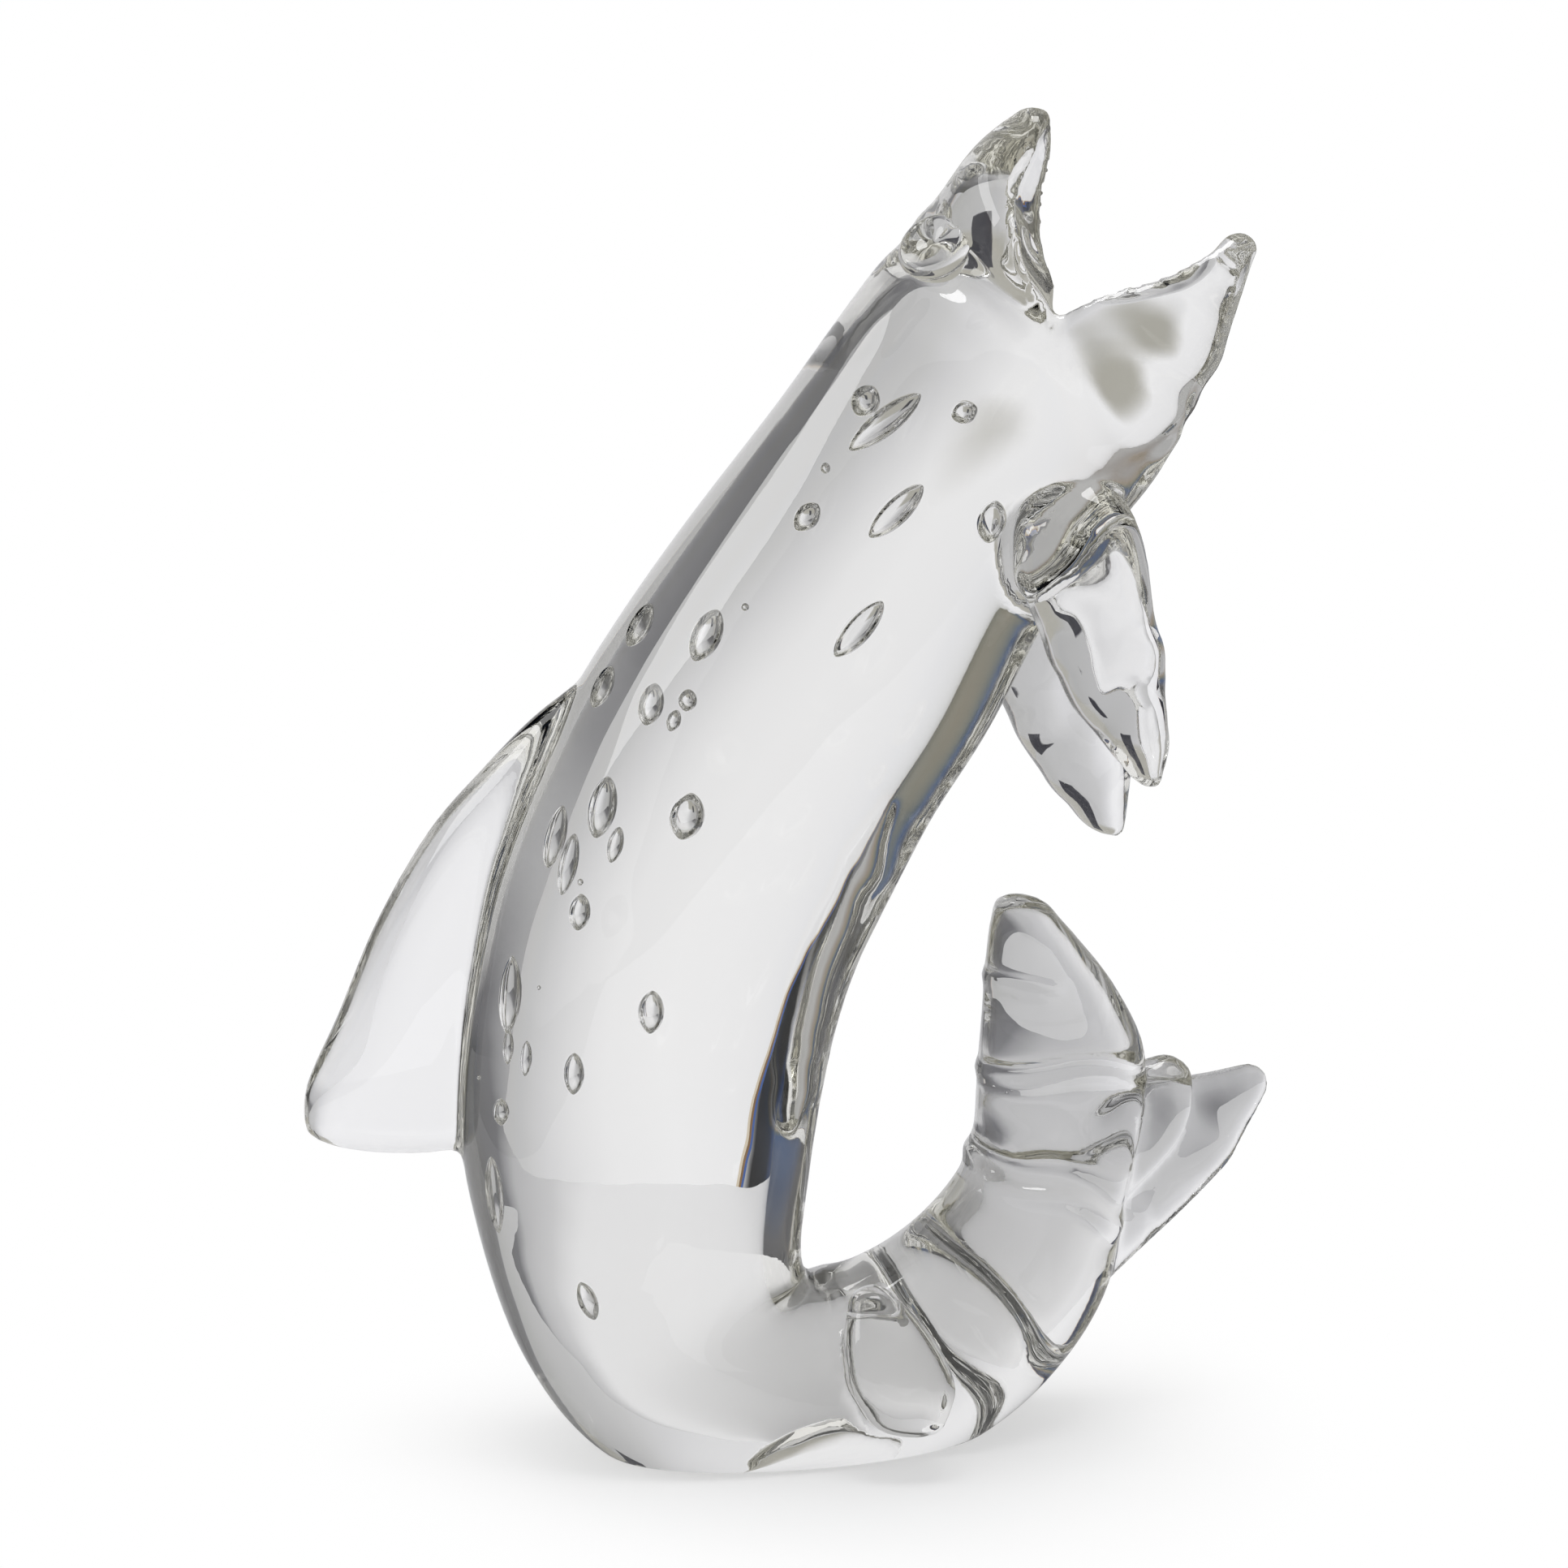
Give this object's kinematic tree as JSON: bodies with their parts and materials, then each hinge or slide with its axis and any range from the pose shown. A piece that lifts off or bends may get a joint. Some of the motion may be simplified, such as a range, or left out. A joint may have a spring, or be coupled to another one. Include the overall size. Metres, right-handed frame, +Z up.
{
  "type": "glass trout sculpture",
  "caption": "Solid clear glass trout leaping upright, mouth open, with fins, disc eyes and a curled tail, standing on a small flat ground foot.",
  "frame": {"origin": "on the flat ground foot, under the bend of the body", "axes": "+Z up; +X from the back and dorsal fin toward the belly, the head and the tail; +Y to the far side, where the tail's far lobe goes"},
  "size_m": [0.148, 0.0617, 0.2051],
  "materials": {
    "clear_glass": "fire polished"
  },
  "bodies": {
    "root": {"glass_trout": "clear_glass"}
  },
  "joints": []
}
